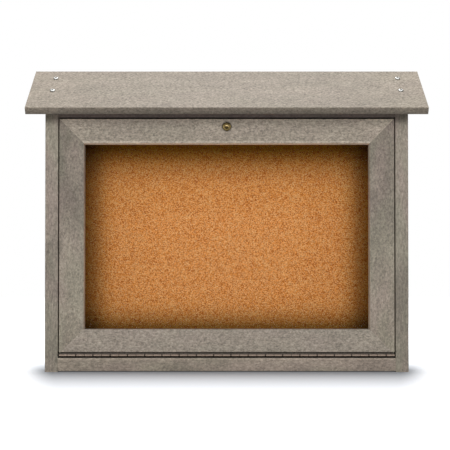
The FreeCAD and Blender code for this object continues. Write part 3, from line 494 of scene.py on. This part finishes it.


# Roof screws: bright stainless button heads with a hexagon socket, two at each end of the roof.
# They go down through the board into the side boards, and dark plugs in their sockets are painted shade.
ROUND = 48
AROUND = np.arange(ROUND) * 2 * np.pi / ROUND
ARC_ROWS = 6
SHARP_EDGE = np.radians(35.0)
SLOPE = np.radians(35.0)
ROOF_FOOT = np.array([0.0, -0.0965273, 0.7463896])
ROOF_THICKNESS = 0.022225
ROOF_SCREW_X = 0.51435
ROOF_SCREW_RUN = (0.1123, 0.1963)
ROOF_DRIVE = 0.0072
ROOF_RISE = 0.0034
SOCKET_SHADE_RADIUS = ROOF_DRIVE / 2 - 0.0001


def polygon(sides):
    """How far a polygon's outline lies from its middle at each angle, over the middle of its sides:
    one over the cosine of the angle folded into one side."""
    step = 2 * np.pi / sides
    return 1 / np.cos((AROUND + step / 2) % step - step / 2)


def slot(width, height):
    """The same for a slot, over half its height: the nearer of its sides and its ends."""
    side = width / height / np.maximum(np.abs(np.cos(AROUND)), 1e-6)
    end = 1 / np.maximum(np.abs(np.sin(AROUND)), 1e-6)
    return np.minimum(side, end)


def turned(profile, outline=None, ring=False):
    """A form turned about Z from a profile of radius, height and share, where a point lies at radius
    times (1 - share + share * outline) from the axis. A ring joins its last row to its first, and
    any other form is closed by a fan to the axis at both ends."""
    rows = np.array(profile, dtype=float)
    shape = np.ones(ROUND) if outline is None else outline
    reach = rows[:, :1] * (1 - rows[:, 2:] + rows[:, 2:] * shape[None, :])
    points = np.stack([
        reach * np.cos(AROUND), reach * np.sin(AROUND), np.repeat(rows[:, 1:2], ROUND, axis=1),
    ], axis=-1).reshape(-1, 3)
    here = np.arange(ROUND)
    following = np.roll(here, -1)
    count = len(rows)
    start = np.arange(count if ring else count - 1)[:, None] * ROUND
    after = (start + ROUND) % (count * ROUND)
    walls = np.stack([start + here, start + following, after + following, after + here], axis=-1)
    faces = walls.reshape(-1, 4).tolist()
    if not ring:
        last = (count - 1) * ROUND
        foot, top = count * ROUND, count * ROUND + 1
        points = np.concatenate([points, [[0.0, 0.0, rows[0, 1]], [0.0, 0.0, rows[-1, 1]]]])
        faces += np.stack([np.full(ROUND, foot), following, here], axis=1).tolist()
        faces += np.stack([np.full(ROUND, top), last + here, last + following], axis=1).tolist()
    return points, faces


def facing(direction):
    """The turn that takes Z to a direction. Its columns are the turned axes, X as level as it can be."""
    ahead = np.array(direction, dtype=float)
    ahead /= np.linalg.norm(ahead)
    level = np.array([1.0, 0.0, 0.0]) if abs(ahead[0]) < 0.9 else np.array([0.0, 1.0, 0.0])
    side = level - ahead * (level @ ahead)
    side /= np.linalg.norm(side)
    return np.stack([side, np.cross(ahead, side), ahead], axis=1)


def set_at(form, spots, direction):
    """The form at each spot with its Z along a direction: its points times the turn, plus the spot."""
    points, faces = form
    return [(points @ facing(direction).T + np.array(spot), faces) for spot in spots]


def placed(name, data):
    """A new object in the scene."""
    item = bpy.data.objects.new(name, data)
    bpy.context.scene.collection.objects.link(item)
    return item


def new_piece(name, forms, material, body):
    """One object from several forms of points and faces, smooth but for its sharp edges. It rides on
    a body."""
    starts = np.cumsum([0] + [len(points) for points, faces in forms[:-1]]).tolist()
    points = np.concatenate([points for points, faces in forms])
    faces = [
        [corner + start for corner in face]
        for (_, form_faces), start in zip(forms, starts) for face in form_faces
    ]
    mesh = bpy.data.meshes.new(name)
    mesh.from_pydata(points.tolist(), [], faces)
    mesh.materials.append(material)
    mesh.shade_smooth()
    mesh.set_sharp_from_angle(angle=SHARP_EDGE)
    mesh.update()
    piece = placed(name, mesh)
    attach(piece, body)
    return piece


def screw(head, rise, drive, sides, shank, length):
    """A screw along Z with its head's seat at zero: a pointed shank, a head whose top is a quarter of
    a rounded arch from rim to crown, and a straight sided drive sunk in the crown to the rim's height."""
    arc = np.linspace(0.0, np.pi / 2, ARC_ROWS)
    crown = drive * 0.75
    rim = rise * 0.3
    point = length * 0.12
    dome = np.stack([
        crown + (head / 2 - crown) * np.cos(arc), rim + (rise - rim) * np.sin(arc), np.zeros(ARC_ROWS),
    ], axis=1).tolist()
    foot = [(shank / 4, -length, 0), (shank / 2, point - length, 0), (shank / 2, 0, 0), (head / 2, 0, 0)]
    return turned(foot + dome + [(drive / 2, rise, 1), (drive / 2, rim, 1)], polygon(sides))


roof_normal = np.array([0.0, -np.sin(SLOPE), np.cos(SLOPE)])
roof_run = np.array([0.0, np.cos(SLOPE), np.sin(SLOPE)])
roof_spots = [
    ROOF_FOOT + [side * ROOF_SCREW_X, 0, 0] + roof_run * along + roof_normal * ROOF_THICKNESS
    for side in (-1, 1) for along in ROOF_SCREW_RUN
]
roof_screw = screw(head=0.0155, rise=ROOF_RISE, drive=ROOF_DRIVE, sides=6, shank=0.0055, length=0.058)
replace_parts(new_piece(
    "roof_button_screws", set_at(roof_screw, roof_spots, roof_normal),
    metal("stainless steel", linear(142, 142, 140), 0.22, tarnish=0.1), "case",
), "roof_screws")
# A dark plug in each socket is painted shade.
socket_shade_plug = turned([(SOCKET_SHADE_RADIUS, ROOF_RISE * 0.35, 1), (SOCKET_SHADE_RADIUS, ROOF_RISE * 0.9, 1)], polygon(6))
new_piece(
    "roof_socket_shade", set_at(socket_shade_plug, roof_spots, roof_normal),
    lumber("painted socket shade", linear(70, 63, 54), mottle=1.0), "case",
)


# Case and panel screws: zinc plated, with a square drive, as plastic lumber is screwed together.
# They join the side boards to sill and header, and hold the back panel in sunk holes.
SCREW_LEVELS = (0.0245, 0.7661)
CASE_SIDE = 0.5334
CASE_SCREW_Y = (0.00015, 0.06365)
PANEL_SCREW_X = (-0.3302, 0.0, 0.3302)
PANEL_SCREW_SEAT = 0.1051
zinc = metal("screw zinc", linear(176, 180, 182), 0.4, tarnish=0.8)
case_screw = screw(head=0.011, rise=0.0025, drive=0.0036, sides=4, shank=0.0055, length=0.074)
for label, side in (("left", -1), ("right", 1)):
    case_spots = [(side * CASE_SIDE, y, z) for y in CASE_SCREW_Y for z in SCREW_LEVELS]
    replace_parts(new_piece(
        label + "_case_screws", set_at(case_screw, case_spots, (side, 0, 0)), zinc, "case",
    ), "case_screws")
panel_screw = screw(head=0.009, rise=0.0022, drive=0.0032, sides=4, shank=0.0045, length=0.0375)
panel_spots = [(x, PANEL_SCREW_SEAT, z) for x in PANEL_SCREW_X for z in SCREW_LEVELS]
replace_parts(new_piece(
    "panel_screws", set_at(panel_screw, panel_spots, (0, 1, 0)), zinc, "case",
), "back_panel_screws")


# Hinge and strike screws: short zinc plated screws with flat heads.
# One row goes down through the case leaf into the sill, one goes up into the door, and two screws
# hold the strike plate under the header.
LEAF_SCREW_STEP = 0.0820512
LEAF_SCREW_Y = -0.01493
CASE_LEAF_SEAT = 0.04805
DOOR_LEAF_SEAT = 0.05135
STRIKE_SCREW_X = (-0.0127, 0.0127)
STRIKE_SCREW_Y = 0.0271
STRIKE_SEAT = 0.74505
short_screw = screw(head=0.008, rise=0.0014, drive=0.0028, sides=4, shank=0.0042, length=0.0215)
for body, seat, up in (("case", CASE_LEAF_SEAT, 1), ("door", DOOR_LEAF_SEAT, -1)):
    leaf_spots = [(number * LEAF_SCREW_STEP, LEAF_SCREW_Y, seat) for number in (-5, -3, -1, 1, 3, 5)]
    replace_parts(new_piece(
        body + "_hinge_screws", set_at(short_screw, leaf_spots, (0, 0, up)), zinc, body,
    ), body + "_leaf_screws")
strike_spots = [(x, STRIKE_SCREW_Y, STRIKE_SEAT) for x in STRIKE_SCREW_X]
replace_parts(new_piece(
    "strike_plate_screws", set_at(short_screw, strike_spots, (0, 0, -1)), zinc, "case",
), "strike_screws")


# Bar and brace screws: small zinc plated screws behind the door.
# They hold the retaining bars round the pane, and four of them hold each corner brace.
BAR_BACK = 0.008497
LEVEL_BAR_Z = (0.1113, 0.6856)
LEVEL_BAR_X = (-0.36, -0.18, 0.0, 0.18, 0.36)
UPRIGHT_BAR_X = (-0.434, 0.434)
UPRIGHT_BAR_Z = (0.2, 0.3, 0.4985, 0.5985)
BRACE_X = 0.4648
BRACE_CORNERS = ((0.0804, 1), (0.71655, -1))
BRACE_HOLES = ((0.018, 0.0), (0.055, 0.0), (0.0, 0.018), (0.0, 0.055))
bar_spots = [(x, BAR_BACK, z) for x in LEVEL_BAR_X for z in LEVEL_BAR_Z]
bar_spots += [(x, BAR_BACK, z) for x in UPRIGHT_BAR_X for z in UPRIGHT_BAR_Z]
brace_spots = [
    (side * (BRACE_X - across), BAR_BACK, corner + rise * up)
    for side in (-1, 1) for corner, rise in BRACE_CORNERS for across, up in BRACE_HOLES
]
bar_screw = screw(head=0.0058, rise=0.0011, drive=0.0022, sides=4, shank=0.003, length=0.012)
new_piece(
    "bar_and_brace_screws", set_at(bar_screw, bar_spots + brace_spots, (0, 1, 0)),
    zinc, "door",
)


# Lock: a brass cam lock let into the top rail, with a domed head round a dished plug with a keyway.
# The head lies in a counterbore, a thread runs along the barrel, and a nut holds it behind the rail.
HEAD_RADIUS = 0.0127
HEAD_THICKNESS = 0.0025
BARREL_RADIUS = 0.009525
BARREL_CORE = 0.0086
BARREL_END = 0.0455
BORE_RADIUS = 0.0063
PLUG_RADIUS = 0.00625
PLUG_END = 0.046
THREAD_START = 0.0035
THREAD_PITCH = 0.00125
THREAD_DEPTH = 0.0005
KEYWAY_WIDTH = 0.0074
KEYWAY_HEIGHT = 0.0028
CAM_SCREW_SEAT = 0.0188969
brass = metal("lock brass", linear(88, 76, 50), 0.42, tarnish=0.9)
thread_rows = np.arange(THREAD_START, BARREL_END - 0.001, THREAD_PITCH / 4)
thread = np.stack([
    BARREL_RADIUS - THREAD_DEPTH * (0.5 + 0.5 * np.cos(thread_rows / THREAD_PITCH * 2 * np.pi)),
    -thread_rows, np.zeros_like(thread_rows),
], axis=1)[::-1]
lock_head = [
    (HEAD_RADIUS, -HEAD_THICKNESS, 0), (HEAD_RADIUS, -0.0016, 0), (HEAD_RADIUS - 0.0003, -0.0012, 0),
    (HEAD_RADIUS - 0.0011, -0.0008, 0), (0.0104, -0.0004, 0), (0.0090, -0.0001, 0), (0.0078, 0.0, 0),
    (0.0068, 0.0, 0), (BORE_RADIUS + 0.0001, -0.0003, 0), (BORE_RADIUS, -0.0012, 0),
]
housing = turned(
    [(BORE_RADIUS, -BARREL_END, 0), (BARREL_CORE, -BARREL_END, 0), *thread.tolist()]
    + [(BARREL_RADIUS - 0.0004, -HEAD_THICKNESS, 0), *lock_head],
    ring=True,
)
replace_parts(new_piece(
    "lock_head_and_barrel", set_at(housing, [LOCK], (0, -1, 0)), brass, "door",
), "lock_housing")
plug = turned(
    [
        (PLUG_RADIUS, -PLUG_END, 0), (PLUG_RADIUS, -0.0006, 0), (0.0060, -0.0003, 0), (0.0056, -0.0003, 0),
        (0.0050, -0.0006, 0), (0.0043, -0.0010, 0),
        (KEYWAY_HEIGHT / 2, -0.0016, 1), (0.0013, -0.0020, 1), (0.0013, -0.02, 1),
    ],
    slot(KEYWAY_WIDTH, KEYWAY_HEIGHT),
)
# The plug's pale brass is a painted highlight, kept to the spot above the keyway by the two darker
# changes.
plug_brass_painted_highlight = metal(
    "plug brass with painted highlight", linear(205, 178, 124), 0.3, tarnish=0.5, changes=[
        (LOCK, 0.0040, 0.0047, 0.3),  # painted shade round the plug's dish, which keeps the painted highlight small
        ("up", LOCK[2] - 0.0010, LOCK[2] - 0.0018, 0.35),  # and painted shade below the keyway
    ],
)
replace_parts(new_piece(
    "lock_plug_and_keyway", set_at(plug, [LOCK], (0, -1, 0)), plug_brass_painted_highlight, "lock_cylinder",
), "lock_plug")
cam_screw = screw(head=0.0095, rise=0.003, drive=0.004, sides=6, shank=0.0047, length=0.0118)
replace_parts(new_piece(
    "cam_hexagon_screw", set_at(cam_screw, [(0, CAM_SCREW_SEAT, LOCK[2])], (0, 1, 0)),
    zinc, "lock_cylinder",
), "cam_screw")
dress(brass, "lock_nut")


# Studio: a white floor and surround, broad soft lamps from both sides of the camera, from above and
# from behind, and a camera that looks slightly up, with its frame raised to take in the roof.

# The floor's painted shadow fades out between two distances, in metres, aside, behind and before.
# FLOOR_LIT is the paper's colour for light that bounces from it, and FLOOR_SEEN the colour that the camera
# sees.
FLOOR_REACH = 30.0
FLOOR_LIT = (0.5, 0.5, 0.5, 1.0)
FLOOR_SEEN = (0.403, 0.426, 0.465, 1.0)
SHADE_LEAN = 0.18
SHADE_ASIDE = (0.515, 0.615)
SHADE_BEHIND = (0.046, 0.47)
SHADE_BEFORE = (-0.08, -0.85)
SHADE_POWER = 0.88
GLOW_IN_SHADE = 0.06
GLOW_OUTSIDE = 0.8
FAR_OFF = (0.9, 2.2)
GLOW_FAR_OFF = 0.3
SURROUND = 0.2
LAMP_AIM = (0.0, 0.0, 0.45)
LENS = 93.189
CAMERA_SPOT = (-0.0051, -3.4487, 0.24285)
CAMERA_RAISED = np.radians(0.9414)
FRAME_RAISED = 0.1


def is_seen(tree):
    """One for what the camera sees, directly, in a gloss or through the pane, and zero for light."""
    path = put(tree, "LightPath").outputs
    straight = combined(tree, "MAXIMUM", path["Is Camera Ray"], path["Is Glossy Ray"])
    return combined(tree, "MAXIMUM", straight, path["Is Transmission Ray"])


def floor_paper():
    """Pale paper. Where it is seen it also glows, by one minus the product of three shares of painted
    shadow:
    beside the object, where the shadow's edges lean outwards behind it, behind the object and before
    it. It glows more far off, and so the painted shadow, over the real one, runs into the white surround."""
    material, tree = empty_material("floor paper")
    seen = is_seen(tree)
    paper = blend(tree, seen, FLOOR_LIT, FLOOR_SEEN)
    lit = put(tree, "BsdfDiffuse", {"Color": paper}).outputs[0]
    place = put(tree, "TexCoord").outputs["Object"]
    ahead = put(tree, "SeparateXYZ", {0: place}).outputs["Y"]
    aside = combined(tree, "SUBTRACT", distance(tree, place, "middle"), product(tree, ahead, SHADE_LEAN))
    before = combined(tree, "POWER", spread(tree, ahead, *SHADE_BEFORE), SHADE_POWER)
    shade = product(
        tree, spread(tree, aside, *SHADE_ASIDE, first=1.0, last=0.0, course="SMOOTHSTEP"),
        spread(tree, ahead, *SHADE_BEHIND, first=1.0, last=0.0, course="SMOOTHSTEP"),
        combined(tree, "SUBTRACT", 1.0, before),
    )
    near = spread(tree, shade, 1.0, 0.0, first=GLOW_IN_SHADE, last=GLOW_OUTSIDE)
    far = spread(tree, distance(tree, place, (0.0, 0.0, 0.0)), *FAR_OFF, last=GLOW_FAR_OFF)
    strength = product(tree, seen, combined(tree, "ADD", far, near))
    glow = put(tree, "Emission", {"Color": WHITE, "Strength": strength}).outputs[0]
    both = put(tree, "AddShader", {0: lit, 1: glow}).outputs[0]
    tree.links.new(both, put(tree, "OutputMaterial").inputs["Surface"])
    return material


floor_mesh = bpy.data.meshes.new("studio_floor")
floor_corners = [(FLOOR_REACH * x, FLOOR_REACH * y, 0) for x, y in ((-1, -1), (1, -1), (1, 1), (-1, 1))]
floor_mesh.from_pydata(floor_corners, [], [(0, 1, 2, 3)])
floor_mesh.materials.append(floor_paper())
floor = placed("studio_floor", floor_mesh)

world = bpy.data.worlds.new("studio")
bpy.context.scene.world = world
world.use_nodes = True
sky = world.node_tree
sky.nodes.clear()
surround = put(sky, "Background", {
    "Color": WHITE, "Strength": spread(sky, is_seen(sky), 0.0, 1.0, first=SURROUND, last=1.0),
})
sky.links.new(surround.outputs[0], put(sky, "OutputWorld").inputs["Surface"])


def lamp(name, place, size, power):
    """A square lamp at a place, turned to the middle of the object."""
    light = bpy.data.lights.new(name, "AREA")
    light.size = size
    light.energy = power
    stand = placed(name, light)
    stand.location = place
    stand.rotation_euler = Matrix(facing(np.array(place) - np.array(LAMP_AIM)).tolist()).to_euler()


lamp("left_lamp", place=(-1.9, -3.9, 1.6), size=1.6, power=67.0)
lamp("right_lamp", place=(1.9, -3.9, 1.6), size=1.6, power=67.0)
lamp("top_lamp", place=(0.0, 0.75, 4.2), size=2.4, power=120.0)
lamp("back_lamp", place=(0.0, 4.4, 1.7), size=2.0, power=60.0)

camera_data = bpy.data.cameras.new("camera")
camera_data.sensor_width = 36.0
camera_data.lens = LENS
camera_data.shift_y = FRAME_RAISED
camera = placed("camera", camera_data)
camera.location = CAMERA_SPOT
camera.rotation_euler = (np.pi / 2 + CAMERA_RAISED, 0.0, 0.0)
bpy.context.scene.camera = camera
bpy.context.scene.view_settings.view_transform = "Standard"
